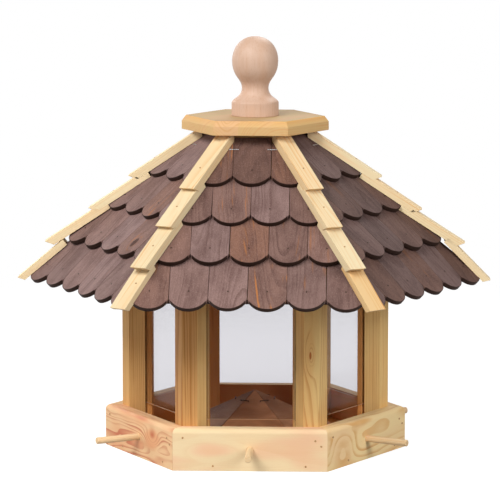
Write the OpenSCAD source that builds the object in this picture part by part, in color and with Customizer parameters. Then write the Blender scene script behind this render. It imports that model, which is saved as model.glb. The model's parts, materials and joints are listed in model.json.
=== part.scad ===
// Hexagonal wooden bird feeder: a tray with perches, six grooved corner posts that hold clear
// panes, a seed spreader, a shingled hip roof and a lift-off cap with a turned knob.
// Origin: centre of the underside of the tray. +Z is up and the front board faces -Y.
// Millimetres. Face 0 is the front and corner 0 is at its right end; both count anticlockwise.

/* [Tray] */
// Distance from the axis to an outer corner of the rim
rim_corner_r = 182; // [165:1:205]
// Height of the rim boards
rim_h = 50; // [40:1:70]
// Thickness of the rim boards
rim_t = 18; // [14:0.5:22]
// Radius of the rounded upper outer edge of the rim
rim_round_r = 6; // [2:0.5:9]
// Thickness of the floor board
floor_t = 12; // [9:0.5:18]

/* [Perches] */
// Diameter of a perch dowel
perch_d = 8; // [6:0.5:12]
// Length of a perch outside the rim
perch_out = 55; // [30:1:90]
// Depth of a perch inside its hole
perch_in = 12; // [8:0.5:13]
// Height of a perch's centre above the underside
perch_z = 25; // [18:0.5:32]

/* [Posts] */
// Width of each of the two faces that stand against the rim boards
post_face = 18.2; // [14:0.2:22]
// Depth of the two sides that point at the axis
post_side = 28; // [26:0.5:36]
// Length of a post at its outermost edge
post_h = 272; // [230:1:320]

/* [Panes] */
// Thickness of a clear pane
pane_t = 2; // [1.5:0.1:4]
// Distance from the inside of the rim to the middle of a pane
pane_setback = 18.6; // [15:0.1:22]
// Height of the lower edge of a pane above the underside
pane_z = 55; // [45:1:80]
// Depth of the groove that holds a pane
groove_depth = 6; // [4:0.5:8]
// Gap all round a pane inside its groove
groove_gap = 0.3; // [0.2:0.05:0.6]

/* [Spreader] */
// Slope of the spreader panels in degrees
spreader_slope = 27.2; // [15:0.1:32]
// Thickness of the spreader panels
spreader_t = 4; // [3:0.5:6]
// Gap between the spreader's corners and the posts
spreader_gap = 5; // [2:0.5:10]

/* [Roof] */
// Slope of the six roof faces in degrees
roof_slope = 43.1; // [38:0.1:48]
// Thickness of the roof boards
deck_t = 8; // [6:0.5:12]
// Overhang of the roof boards past the outside of the rim
eave_out = 64.3; // [46:0.1:82]
// Distance from the axis to a side of the filling hole
fill_apothem = 50; // [44:0.5:53]

/* [Shingles] */
// Width that one shingle takes up
shingle_w = 45; // [34:0.5:56]
// Length of a shingle
shingle_len = 78; // [70:1:85]
// Thickness of a shingle
shingle_t = 5.2; // [4.6:0.1:5.8]
// Distance from one course of shingles to the next
exposure = 59; // [54:0.5:62]
// Overhang of the last course past the roof boards
shingle_out = 22; // [16:0.5:26]
// Depth of the rounded end of a shingle
tail_depth = 14.8; // [8:0.2:16]
// Gap beside a shingle
shingle_gap = 0.5; // [0.3:0.1:1.5]

/* [Hip rails] */
// Width of a rail
rail_w = 21; // [18:0.5:24]
// Thickness of the lapped rails at their sides
rail_t = 10; // [9:0.25:10.5]
// Thickness of the lowest rail at its sides
last_rail_t = 8.5; // [7.5:0.25:9.5]
// Angle between a rail's cut lower end and the horizontal in degrees
tail_cut = 20; // [5:1:30]
// Length of the lapped rails
rail_len = 83; // [78:0.5:84]
// Length of the lowest rail
last_rail_len = 68; // [58:1:72]
// Distance that the lapped rails reach past the end of their course, along the hip
rail_out = 19; // [15:0.5:21]
// Distance that the lowest rail reaches past the end of the last course, along the hip
last_rail_out = 7.5; // [-6:0.5:9]

/* [Cap] */
// Distance from the axis to a corner of the cap board
cap_corner_r = 88.7; // [80:0.1:98]
// Thickness of the cap board
cap_t = 17; // [14:0.5:22]
// Height of the chamfer round the top of the cap board
cap_chamfer_h = 6.7; // [3:0.1:9]
// Width of that chamfer
cap_chamfer_w = 4.5; // [2:0.1:7]
// Turn of the loose cap on the roof in degrees
cap_turn = -2; // [-3:0.5:3]
// Depth of the block that keeps the cap in the filling hole
block_t = 20; // [16:0.5:24]
// Gap between that block and the sides of the hole
block_gap = 4; // [3:0.5:6]
// Distance from the axis to where the cap rests on the top rails
cap_seat_r = 69; // [66:0.5:72]

/* [Knob] */
// Height of the knob
knob_h = 95; // [80:1:110]
// Radius of the knob's foot
knob_foot_r = 28.3; // [22:0.1:34]
// Height of the straight part of the foot
knob_foot_h = 15.5; // [10:0.5:18]
// Radius of the neck
knob_neck_r = 16; // [12:0.5:19]
// Height of the narrowest place of the neck
knob_neck_z = 33; // [30:0.5:38]
// Radius of the ball
knob_ball_r = 27.7; // [22:0.1:34]
// Height of the widest place of the ball
knob_ball_z = 66; // [60:0.5:70]

/* [Fasteners] */
// Diameter of the nails in the rim and the roof boards
nail_d = 1.8; // [1.4:0.1:2.4]
// Length of those nails
nail_len = 36; // [28:1:40]
// Diameter of the pins in the shingles, the rails and under the panes
pin_d = 1.4; // [1:0.1:1.8]
// Diameter of the wire of the staples
wire_d = 1.1; // [0.8:0.1:1.4]
// Width of a staple
staple_w = 11.4; // [8:0.2:14]
// Diameter of the screws
screw_d = 4; // [3:0.25:5]

/* [Hidden] */

pine = "burlywood";
stained = [0.50, 0.42, 0.40];
brown_board = [0.42, 0.29, 0.20];
beech = [0.90, 0.76, 0.62];
steel = [0.72, 0.72, 0.74];
clear = [0.86, 0.87, 0.92, 0.35];

round_fn = 48;
fine_fn = 96;
// A block larger than the whole feeder, for half-space cuts
far = 700;
// Gap between pieces that rest on each other
seat = 0.2;

// Tray
rim_apothem = rim_corner_r * cos(30);
well_apothem = rim_apothem - rim_t;
well_corner_r = well_apothem / cos(30);
perch_fit = 0.05;

// Posts
shoulder_r = well_corner_r - post_face * cos(60);
post_half_w = post_face * sin(60);
post_inner_r = shoulder_r - post_side;
post_screw_r = shoulder_r - post_side / 2;

// Panes: the groove starts where a pane's middle plane crosses a radial side of a post
pane_apothem = well_apothem - pane_setback;
groove_mouth_x = ((pane_apothem - post_half_w * sin(30)) / cos(30)) * sin(30) - post_half_w * cos(30);
groove_end_x = groove_mouth_x + groove_depth;
pane_half_w = groove_end_x - groove_gap;
pane_head_gap = 1;

// Spreader
spreader_corner_r = post_inner_r - spreader_gap;
spreader_apothem = spreader_corner_r * cos(30);
spreader_edge_h = spreader_t / cos(spreader_slope);
spreader_apex_z = floor_t + spreader_edge_h + spreader_apothem * tan(spreader_slope);
spreader_joint = 0.6;
spreader_staple_r = 26;

// Roof: the upper faces of the roof boards meet in a point on the axis at apex_z
hip_slope = atan(tan(roof_slope) * cos(30));
eave_apothem = rim_apothem + eave_out;
eave_u = eave_apothem / cos(roof_slope);
apex_z = floor_t + post_h + well_corner_r * tan(hip_slope) + deck_t / cos(roof_slope);
deck_under_z = apex_z - deck_t / cos(roof_slope);
pane_top_z = deck_under_z - (pane_apothem + pane_t / 2) * tan(roof_slope) - pane_head_gap;

// Shingles: u runs down the slope from the axis, and the lapped courses tilt by lap_tilt
courses = 4;
lap_tilt = asin((shingle_t + seat) / exposure);
last_tail_u = eave_u + shingle_out;
hip_joint = 0.6;
function tail_u(k) = last_tail_u - (courses - k) * exposure;
function head_u(k) = tail_u(k) - shingle_len;
function course_tilt(k) = k == courses ? 0 : lap_tilt;
function shingles_in(k) = round(2 * tail_u(k) * cos(roof_slope) * tan(30) / shingle_w);

// Hip rails: h runs down the hip from the axis and n is the height above the roof boards
along_hip = cos(roof_slope) / cos(30) / cos(hip_slope);
lap_slope = roof_slope - lap_tilt;
lap_hip_tilt = hip_slope - atan(tan(lap_slope) * cos(30));
function across(slope) = acos(pow(cos(slope), 2) + pow(sin(slope), 2) * cos(60)) / 2;
function shingle_n(k, h) = (shingle_t + seat + (h / along_hip - head_u(k)) * sin(course_tilt(k)))
    / cos(across(roof_slope));

// The groove under a rail has the shape of the hip, so that a rail rests along its whole width
groove_slope = tan(across(lap_slope));
rail_mid_t = rail_t - groove_slope * rail_w / 2;
last_rail_mid_t = last_rail_t - tan(across(roof_slope)) * rail_w / 2;
// A lapped rail tilts rail_lift more than its shingles, and its upper end is rail_rest above them
rail_rest = 0.4;
rail_lift = 0.4;
rail_tilt = lap_hip_tilt + rail_lift;
function tip_h(k) = tail_u(k) * along_hip + (k == courses ? last_rail_out : rail_out);
function head_h(k) = tip_h(k) - rail_len * cos(rail_tilt);
function lap_n(k) = shingle_n(k, head_h(k)) + rail_rest + rail_mid_t + rail_len * sin(rail_tilt);
function tip_n(k) = k == courses ? shingle_n(k, 0) + last_rail_mid_t : lap_n(k);
function tip_z(k) = apex_z - tip_h(k) * sin(hip_slope) + tip_n(k) * cos(hip_slope);
function tip_r(k) = tip_h(k) * cos(hip_slope) + tip_n(k) * sin(hip_slope);

// Cap: it rests on the cut upper ends of the first rails
top_rail_slope = hip_slope - rail_tilt;
cap_z = tip_z(1) + (tip_r(1) - cap_seat_r) * tan(top_rail_slope) + seat;
cap_apothem = cap_corner_r * cos(30);
block_apothem = fill_apothem - block_gap;
knob_z = cap_z + cap_t;

// Fasteners
head_ratio = 1.3;
head_t = 0.8;
spreader_staple_leg = 6;
shingle_staple_leg = 10;
rail_pin_len = 26;
last_rail_pin_len = 16;
rail_pin_from_tip = 40;
shingle_pin_len = 13;
pin_from_tail = 24;
post_screw_len = 45;
screw_head_d = 2 * screw_d;
screw_head_h = screw_d * 0.6;
screw_hole_gap = 0.2;
block_screw_len = block_t + cap_t / 2;
block_screw_r = 26;
knob_screw_bite = 28;
knob_screw_len = block_t + cap_t + knob_screw_bite;

module at_face(i) {
    rotate([0, 0, 60 * i]) children();
}

module at_corner(j) {
    rotate([0, 0, 60 * j - 60]) children();
}

// The plan of one face's sixth, drawn back by gap from the planes through the hips
module sixth(gap = 0) {
    start = -gap / sin(30);
    linear_extrude(far)
        polygon([[0, start], [far * tan(30), start - far], [-far * tan(30), start - far]]);
}

// The frame of a roof face: x along the eave, -y down the slope, z out of the roof boards
module on_roof() {
    translate([0, 0, apex_z]) rotate([roof_slope, 0, 0]) children();
}

// The frame of a hip: x down the hip, z away from the roof boards
module on_hip(j) {
    at_corner(j) translate([0, 0, apex_z]) rotate([0, hip_slope, 0]) children();
}

// The frame of a course's upper surface, measured from its upper edge
module on_course(k) {
    on_roof() translate([0, -head_u(k), seat]) rotate([-course_tilt(k), 0, 0])
        translate([0, 0, shingle_t]) children();
}

// Everything above the undersides of the roof boards of face i
module above_roof(i) {
    at_face(i) on_roof() translate([-far, -far, -deck_t - seat]) cube([2 * far, far, far]);
}

// A nail or pin along -z whose head stands on the plane z = 0, sunk by the given amount
module nail(len, d, sink = 0.3) {
    translate([0, 0, -len]) cylinder(h = len, d = d, $fn = round_fn);
    translate([0, 0, -sink]) cylinder(h = head_t, d = d * head_ratio, $fn = round_fn);
}

// A countersunk screw along +z from the plane z = 0
module screw(len) {
    cylinder(h = screw_head_h, d1 = screw_head_d, d2 = screw_d, $fn = round_fn);
    cylinder(h = len, d = screw_d, $fn = round_fn);
}

// The hole that such a screw passes through, up to height h
module screw_hole(h) {
    hole_d = screw_d + 2 * screw_hole_gap;
    sink_d = screw_head_d + 2 * screw_hole_gap;
    translate([0, 0, -1]) cylinder(h = h + 2, d = hole_d, $fn = round_fn);
    translate([0, 0, -1]) cylinder(h = 1, d = sink_d, $fn = round_fn);
    cylinder(h = screw_head_h + screw_hole_gap, d1 = sink_d, d2 = screw_d, $fn = round_fn);
}

// A staple: a crown along x on the plane z = 0 and two legs along -z
module staple(leg) {
    leg_x = (staple_w - wire_d) / 2;
    crown_z = wire_d * 0.3;
    for (side = [-1, 1]) translate([side * leg_x, 0, crown_z - leg])
        cylinder(h = leg, d = wire_d, $fn = round_fn);
    translate([-staple_w / 2, 0, crown_z]) rotate([0, 90, 0])
        cylinder(h = staple_w, d = wire_d, $fn = round_fn);
}

module floor_board() {
    color(pine) difference() {
        linear_extrude(floor_t) circle(r = well_corner_r, $fn = 6);
        for (j = [0:5]) at_corner(j) translate([post_screw_r, 0, 0]) screw_hole(floor_t);
    }
}

module rim_profile() {
    arc = [for (a = [0:10:90]) [rim_round_r * (1 - cos(a)), rim_h - rim_round_r * (1 - sin(a))]];
    polygon(concat([[0, 0]], arc, [[rim_t, rim_h], [rim_t, 0]]));
}

module rim_board(i) {
    color(pine) difference() {
        at_face(i) intersection() {
            translate([-rim_corner_r, -rim_apothem, 0]) rotate([90, 0, 90])
                linear_extrude(2 * rim_corner_r) rim_profile();
            sixth();
        }
        at_face(i) translate([0, -rim_apothem + perch_in, perch_z]) rotate([90, 0, 0])
            cylinder(h = 2 * perch_in, d = perch_d + 2 * perch_fit, $fn = fine_fn);
    }
}

module perch(i) {
    edge = 0.6;
    color(pine) at_face(i) translate([0, -rim_apothem + perch_in, perch_z]) rotate([90, 0, 0]) {
        cylinder(h = perch_in + perch_out - edge, d = perch_d, $fn = fine_fn);
        translate([0, 0, perch_in + perch_out - edge])
            cylinder(h = edge, d1 = perch_d, d2 = perch_d - 2 * edge, $fn = fine_fn);
    }
}

module pane_groove(i) {
    slot = pane_t + 2 * groove_gap;
    at_face(i) translate([-groove_end_x, -pane_apothem - slot / 2, floor_t - 1])
        cube([2 * groove_end_x, slot, far]);
}

module post(j) {
    color(pine) difference() {
        at_corner(j) translate([0, 0, floor_t]) linear_extrude(far / 2)
            polygon([[well_corner_r, 0], [shoulder_r, post_half_w], [post_inner_r, post_half_w],
                [post_inner_r, -post_half_w], [shoulder_r, -post_half_w]]);
        pane_groove(j);
        pane_groove(j + 1);
        above_roof(j);
        above_roof(j + 1);
    }
}

module pane(i) {
    color(clear) at_face(i) translate([-pane_half_w, -pane_apothem - pane_t / 2, pane_z])
        cube([2 * pane_half_w, pane_t, pane_top_z - pane_z]);
}

module seed_spreader() {
    color(brown_board) for (i = [0:5]) at_face(i) intersection() {
        translate([0, 0, spreader_apex_z]) rotate([spreader_slope, 0, 0])
            translate([-far, -far, -spreader_t]) cube([2 * far, far, spreader_t]);
        sixth(spreader_joint / 2);
        translate([-far, -spreader_apothem, floor_t]) cube([2 * far, spreader_apothem, far]);
    }
}

module roof_panel(i) {
    color(pine) at_face(i) intersection() {
        on_roof() translate([-far, -eave_u, -deck_t]) cube([2 * far, eave_u, deck_t]);
        sixth();
        translate([-far, -far - fill_apothem, 0]) cube([2 * far, far, far]);
    }
}

module shingle_outline() {
    w = shingle_w - shingle_gap;
    end_r = (w * w / 4 + tail_depth * tail_depth) / (2 * tail_depth);
    intersection() {
        translate([-w / 2, -shingle_len]) square([w, shingle_len]);
        union() {
            translate([0, end_r - shingle_len]) circle(r = end_r, $fn = fine_fn);
            translate([-w / 2 - 1, end_r - shingle_len]) square([w + 2, shingle_len]);
        }
    }
}

module shingles(i) {
    color(stained) at_face(i) intersection() {
        for (k = [1:courses]) on_course(k) for (s = [1:shingles_in(k)])
            translate([(s - (shingles_in(k) + 1) / 2) * shingle_w, 0, -shingle_t])
                linear_extrude(shingle_t) shingle_outline();
        sixth(hip_joint / 2);
        translate([-far, -far - fill_apothem, 0]) cube([2 * far, far, far]);
    }
}

// A length of rail whose upper outer edge ends at the origin and runs back along -x
module rail_bar(len, mid_t, slope, more) {
    half_w = rail_w / 2 + more;
    side_z = -mid_t - slope * half_w;
    translate([-len, 0, 0]) rotate([90, 0, 90]) linear_extrude(len)
        polygon([[-half_w, side_z], [0, -mid_t], [half_w, side_z], [half_w, 0], [-half_w, 0]]);
}

// Rail k of a hip before its upper end is fitted, wider by more on both sides
module rail_blank(j, k, len, more = 0) {
    last = k == courses;
    mid_t = last ? last_rail_mid_t : rail_mid_t;
    slope = last ? tan(across(roof_slope)) : groove_slope;
    difference() {
        on_hip(j) translate([tip_h(k), 0, tip_n(k)]) rotate([0, last ? 0 : -rail_tilt, 0])
            rail_bar(len, mid_t, slope, more);
        at_corner(j) translate([tip_r(k), 0, tip_z(k)]) rotate([0, -tail_cut, 0])
            translate([-far, -far, -far]) cube([2 * far, 2 * far, far]);
    }
}

// Everything below the upper face of course k on face i
module under_course(i, k) {
    at_face(i) on_course(k) translate([-far, -far, seat - far]) cube([2 * far, 2 * far, far]);
}

// The first rail is cut level under the cap; each other one is cut to go under the rail above it
module rail(j, k) {
    top_len = (tip_r(1) - cap_seat_r) / cos(top_rail_slope) + rail_t;
    len = k == 1 ? top_len : k == courses ? last_rail_len : rail_len;
    difference() {
        rail_blank(j, k, len);
        if (k == 1) {
            translate([-far, -far, cap_z - seat]) cube([2 * far, 2 * far, far]);
            cylinder(h = far, r = cap_seat_r - rail_t / 2, $fn = fine_fn);
        }
        if (k > 1) translate([0, 0, -seat]) rail_blank(j, k - 1, rail_len, 1);
        intersection() {
            under_course(j, k);
            under_course(j + 1, k);
        }
    }
}

module hip_rails(j) {
    color(pine) for (k = [1:courses]) rail(j, k);
}

module cap_frame() {
    translate([0, 0, cap_z]) rotate([0, 0, cap_turn]) children();
}

module cap_board() {
    lean = atan(cap_chamfer_w / cap_chamfer_h);
    color(pine) cap_frame() difference() {
        linear_extrude(cap_t) circle(r = cap_corner_r, $fn = 6);
        for (i = [0:5]) at_face(i) translate([-far / 2, -cap_apothem, cap_t - cap_chamfer_h])
            rotate([-lean, 0, 0]) translate([0, -far, 0]) cube([far, far, far]);
        cylinder(h = 3 * cap_t, d = screw_d + 2 * screw_hole_gap, center = true, $fn = round_fn);
    }
}

module cap_locating_block() {
    color(pine) cap_frame() translate([0, 0, -block_t]) difference() {
        linear_extrude(block_t) circle(r = block_apothem / cos(30), $fn = 6);
        screw_hole(block_t);
        for (side = [-1, 1]) translate([side * block_screw_r, 0, 0]) screw_hole(block_t);
    }
}

module knob_screw() {
    color(steel) cap_frame() translate([0, 0, -block_t]) screw(knob_screw_len);
}

module block_screws() {
    color(steel) cap_frame() for (side = [-1, 1])
        translate([side * block_screw_r, 0, -block_t]) screw(block_screw_len);
}

function bend(p, steps) = [for (s = [0:steps]) let (t = s / steps, r = 1 - t)
    r * r * r * p[0] + 3 * r * r * t * p[1] + 3 * r * t * t * p[2] + t * t * t * p[3]];

// Each pull is how far a handle of one of the knob's curves reaches
module knob() {
    steps = 10;
    foot_pull = 4.5;
    neck_pull = 11.3;
    cheek_pull = 20;
    crown_pull = 0.52 * (knob_h - knob_ball_z);
    top_pull = 0.65 * knob_ball_r;
    shoulder = bend([[knob_foot_r, knob_foot_h], [knob_foot_r, knob_foot_h + foot_pull],
        [knob_neck_r, knob_neck_z - neck_pull], [knob_neck_r, knob_neck_z]], steps);
    cheek = bend([[knob_neck_r, knob_neck_z], [knob_neck_r, knob_neck_z + neck_pull],
        [knob_ball_r, knob_ball_z - cheek_pull], [knob_ball_r, knob_ball_z]], steps);
    crown = bend([[knob_ball_r, knob_ball_z], [knob_ball_r, knob_ball_z + crown_pull],
        [top_pull, knob_h], [0, knob_h]], steps);
    after = [for (k = [1:steps]) k];
    color(beech) translate([0, 0, knob_z]) rotate_extrude($fn = fine_fn)
        polygon(concat([[0, 0], [knob_foot_r, 0]], shoulder,
            [for (k = after) cheek[k]], [for (k = after) crown[k]]));
}

// Five nails for each rim board: two into the posts, one through the mitre, two into the floor
module rim_nails() {
    corner_x = well_apothem * tan(30);
    left_post = [1.7 - corner_x, rim_h - 10.6];
    right_post = [corner_x - 4, rim_h - 13.4];
    mitre = [corner_x + 3, rim_h - 20];
    floor_nails = [[-0.54 * corner_x, floor_t / 2], [0.81 * corner_x, floor_t / 2]];
    color(steel) for (i = [0:5]) at_face(i) for (p = concat([left_post, right_post, mitre], floor_nails))
        translate([p[0], -rim_apothem, p[1]]) rotate([90, 0, 0]) nail(nail_len, nail_d);
}

module post_screws() {
    color(steel) for (j = [0:5]) at_corner(j) translate([post_screw_r, 0, 0]) screw(post_screw_len);
}

// Two pins under each pane, driven into the bottoms of the grooves
module pane_rest_pins() {
    into_post = 6;
    color(steel) for (i = [0:5], side = [-1, 1]) at_face(i)
        translate([side * groove_mouth_x, -pane_apothem, pane_z - pin_d / 2 - seat / 2])
            rotate([0, side * 90, 0])
                cylinder(h = groove_depth + into_post, d = pin_d, $fn = round_fn);
}

module spreader_staples() {
    ridge_slope = atan(tan(spreader_slope) * cos(30));
    color(steel) for (j = [0:5]) at_corner(j) translate([0, 0, spreader_apex_z])
        rotate([0, ridge_slope, 0]) translate([spreader_staple_r, 0, 0]) rotate([0, 0, 90])
            staple(spreader_staple_leg);
}

// Two nails in each roof board, one into each post below it
module roof_nails() {
    from_hip = 11;
    left_u = (well_corner_r - 2.5 * from_hip + post_side / 2) / cos(roof_slope);
    right_u = left_u - from_hip * 0.7;
    color(steel) for (i = [0:5]) at_face(i) on_roof() {
        translate([from_hip - left_u * cos(roof_slope) * tan(30), -left_u, 0])
            nail(nail_len, nail_d, head_t);
        translate([right_u * cos(roof_slope) * tan(30) - from_hip, -right_u, 0])
            nail(nail_len, nail_d, head_t);
    }
}

// One pin in each shingle, above its rounded end
module shingle_pins() {
    color(steel) for (i = [0:5], k = [1:courses]) at_face(i) on_course(k)
        for (s = [1:shingles_in(k)])
            translate([(s - (shingles_in(k) + 1) / 2) * shingle_w, pin_from_tail - shingle_len, 0])
                nail(shingle_pin_len, pin_d);
}

// Staples across the joints of the first course, clear of the rails
module shingle_staples() {
    rail_gap = 0.4;
    outer_end = (shingles_in(1) / 2 - 1) * shingle_w + staple_w / 2;
    level = (outer_end + rail_gap + rail_w / 2 / cos(30)) / tan(30);
    lift = (shingle_t + seat) * sin(lap_slope);
    from_head = max(18, (level - head_u(1) * cos(roof_slope) - lift) / cos(lap_slope));
    color(steel) for (i = [0:5]) at_face(i) on_course(1) for (s = [1:shingles_in(1) - 1])
        translate([(s - shingles_in(1) / 2) * shingle_w, -from_head, 0]) staple(shingle_staple_leg);
}

module rail_pins() {
    color(steel) for (j = [0:5], k = [1:courses]) on_hip(j)
        translate([tip_h(k), 0, tip_n(k)]) rotate([0, k == courses ? 0 : -rail_tilt, 0])
            translate([-rail_pin_from_tip, 0, 0])
                nail(k == courses ? last_rail_pin_len : rail_pin_len, pin_d);
}

floor_board();
rim_board(0);  // rim_board_front
rim_board(1);  // rim_board_right_front
rim_board(2);  // rim_board_right_back
rim_board(3);  // rim_board_back
rim_board(4);  // rim_board_left_back
rim_board(5);  // rim_board_left_front
perch(0);  // perch_front
perch(1);  // perch_right_front
perch(2);  // perch_right_back
perch(3);  // perch_back
perch(4);  // perch_left_back
perch(5);  // perch_left_front
post(0);  // post_front_right
post(1);  // post_right
post(2);  // post_back_right
post(3);  // post_back_left
post(4);  // post_left
post(5);  // post_front_left
pane(0);  // pane_front
pane(1);  // pane_right_front
pane(2);  // pane_right_back
pane(3);  // pane_back
pane(4);  // pane_left_back
pane(5);  // pane_left_front
seed_spreader();
roof_panel(0);  // roof_panel_front
roof_panel(1);  // roof_panel_right_front
roof_panel(2);  // roof_panel_right_back
roof_panel(3);  // roof_panel_back
roof_panel(4);  // roof_panel_left_back
roof_panel(5);  // roof_panel_left_front
shingles(0);  // shingles_front
shingles(1);  // shingles_right_front
shingles(2);  // shingles_right_back
shingles(3);  // shingles_back
shingles(4);  // shingles_left_back
shingles(5);  // shingles_left_front
hip_rails(0);  // hip_rails_front_right
hip_rails(1);  // hip_rails_right
hip_rails(2);  // hip_rails_back_right
hip_rails(3);  // hip_rails_back_left
hip_rails(4);  // hip_rails_left
hip_rails(5);  // hip_rails_front_left
cap_board();
cap_locating_block();
knob();
knob_screw();
block_screws();
rim_nails();
post_screws();
pane_rest_pins();
spreader_staples();
roof_nails();
shingle_pins();
shingle_staples();
rail_pins();
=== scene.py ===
import json
import math
import random

import bmesh
import bpy
from mathutils import Matrix, Vector

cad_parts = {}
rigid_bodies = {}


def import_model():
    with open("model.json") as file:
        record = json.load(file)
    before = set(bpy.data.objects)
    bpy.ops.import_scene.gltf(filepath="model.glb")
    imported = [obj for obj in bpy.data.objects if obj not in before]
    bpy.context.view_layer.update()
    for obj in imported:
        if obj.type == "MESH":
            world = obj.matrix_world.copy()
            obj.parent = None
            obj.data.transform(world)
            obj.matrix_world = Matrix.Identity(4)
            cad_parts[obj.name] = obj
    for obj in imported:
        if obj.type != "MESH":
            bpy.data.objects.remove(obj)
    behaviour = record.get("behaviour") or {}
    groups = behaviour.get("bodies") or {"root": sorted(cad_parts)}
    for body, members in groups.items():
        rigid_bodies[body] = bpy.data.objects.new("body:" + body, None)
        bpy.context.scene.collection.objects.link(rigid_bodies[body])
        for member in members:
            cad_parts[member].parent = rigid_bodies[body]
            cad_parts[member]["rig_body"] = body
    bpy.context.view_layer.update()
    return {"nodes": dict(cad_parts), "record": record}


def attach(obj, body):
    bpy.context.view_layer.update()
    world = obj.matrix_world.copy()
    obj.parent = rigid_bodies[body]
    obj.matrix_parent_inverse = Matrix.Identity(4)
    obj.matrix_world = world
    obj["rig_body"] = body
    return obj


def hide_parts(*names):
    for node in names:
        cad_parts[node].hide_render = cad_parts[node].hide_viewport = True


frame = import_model()
nodes = frame["nodes"]
mm = 0.001
print("frame loaded:", len(nodes), "nodes")

# the six sides and the six corners, anticlockwise from the front and from the front right
sides = ["front", "right_front", "right_back", "back", "left_back", "left_front"]
corners = ["front_right", "right", "back_right", "back_left", "left", "front_left"]
sideAngle = 360 / len(sides)  # degrees from one side to the next
up = Vector((0, 0, 1))
right = Vector((1, 0, 0))


def outOf(side):
    # level, straight out of a side
    turn = math.radians(sideAngle * sides.index(side))
    return Vector((math.sin(turn), -math.cos(turn), 0))


def toCorner(corner):
    # level, from the axis to a corner
    turn = math.radians(sideAngle * (corners.index(corner) - 1))
    return Vector((math.cos(turn), math.sin(turn), 0))


def bodyOf(node):
    return nodes[node]["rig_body"]


def slotOf(node):
    return next(part["material_slot"] for part in frame["record"]["subparts"] if part["node"] == node)


class Wire:
    # one shader socket that can stand in a sum
    def __init__(self, finish, socket):
        self.finish = finish
        self.socket = socket

    def __add__(self, other):
        return self.finish.calc("ADD", self, other)

    def __radd__(self, other):
        return self.finish.calc("ADD", other, self)

    def __sub__(self, other):
        return self.finish.calc("SUBTRACT", self, other)

    def __rsub__(self, other):
        return self.finish.calc("SUBTRACT", other, self)

    def __mul__(self, other):
        return self.finish.calc("MULTIPLY", self, other)

    def __rmul__(self, other):
        return self.finish.calc("MULTIPLY", other, self)

    def __truediv__(self, other):
        return self.finish.calc("DIVIDE", self, other)

    def __rtruediv__(self, other):
        return self.finish.calc("DIVIDE", other, self)


class Finish:
    # the shader nodes of a material or of the world
    def __init__(self, owner):
        owner.use_nodes = True
        self.owner = owner
        self.tree = owner.node_tree
        self.tree.nodes.clear()

    def node(self, kind, settings=None, values=None, out=0):
        # adds a node with its settings, then the values and links of its sockets, and gives one output
        made = self.tree.nodes.new("ShaderNode" + kind)
        for key, value in (settings or {}).items():
            setattr(made, key, value)
        for key, value in (values or {}).items():
            if isinstance(value, Wire):
                self.tree.links.new(value.socket, made.inputs[key])
            else:
                made.inputs[key].default_value = value
        return Wire(self, made.outputs[out]) if made.outputs else None

    def calc(self, operation, *numbers):
        return self.node("Math", {"operation": operation}, dict(enumerate(numbers)))

    def attribute(self, name, out="Vector"):
        return self.node("Attribute", {"attribute_name": name}, out=out)

    def split(self, vector):
        made = self.node("SeparateXYZ", {}, {"Vector": vector})
        outputs = made.socket.node.outputs
        return [Wire(self, outputs[axis]) for axis in ("X", "Y", "Z")]

    def join(self, x, y, z):
        return self.node("CombineXYZ", {}, {"X": x, "Y": y, "Z": z})

    def noise(self, place, scale=1, detail=2, roughness=0.5):
        values = {"Vector": place, "Scale": scale, "Detail": detail, "Roughness": roughness}
        return self.node("TexNoise", {}, values, "Fac")

    def grained(self, place, pitch, detail=2, roughness=0.5):
        # noise that is drawn out along the wood; pitch is its scale along the grain and across it
        x, y, z = place
        along, across = pitch
        return self.noise(self.join(x * along, y * across, z * across), 1, detail, roughness)

    def step(self, value, low, high):
        # 0 below low, 1 above high, smooth between; low may be the larger one
        if low > high:
            return 1 - self.step(value, high, low)
        settings = {"interpolation_type": "SMOOTHSTEP"}
        return self.node("MapRange", settings, {"Value": value, "From Min": low, "From Max": high})

    def mix(self, share, first, second):
        first, second = ((*tone, 1) if isinstance(tone, tuple) else tone for tone in (first, second))
        return self.node("Mix", {"data_type": "RGBA"}, {0: share, 6: first, 7: second}, 2)

    def layer(self, under, over, mask, shows):
        # lays one colour over another; shows is the mask's value at which it starts, the one at which it
        # is full, and its share of the colour then
        start, full, share = shows
        return self.mix(self.step(mask, start, full) * share, under, over)

    def toned(self, colour, tone):
        return self.node("HueSaturation", {}, {"Color": colour, "Value": tone})

    def wooden(self, look, colour, roughness, height):
        # the last steps of every wooden finish
        bump = {"Height": height, "Strength": look["bump"], "Distance": look["bumpDepth"]}
        values = {"Base Color": colour, "Roughness": roughness, "Specular IOR Level": look["specular"],
                  "Normal": self.node("Bump", {}, bump, "Normal")}
        return self.surface(self.node("BsdfPrincipled", {}, values))

    def surface(self, shader, output="OutputMaterial"):
        self.node(output, {}, {"Surface": shader})
        return self.owner


def colour(red, green, blue):
    # a screen colour of 0 to 255 as the linear one that shaders take
    def straight(part):
        part /= 255
        return part / 12.92 if part <= 0.04045 else ((part + 0.055) / 1.055) ** 2.4
    return tuple(straight(part) for part in (red, green, blue))


growth = {
    # scales along the grain and across it
    "ripples": (26, 130), "patches": (14, 60),
    "wanderRoughness": 0.45, "unevenScale": 0.37, "patchShows": (0.25, 0.62),
    # where in a ring its late wood is full, and how much of it the weakest year has
    "lateFull": 0.9, "leastYear": 0.25,
}


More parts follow.
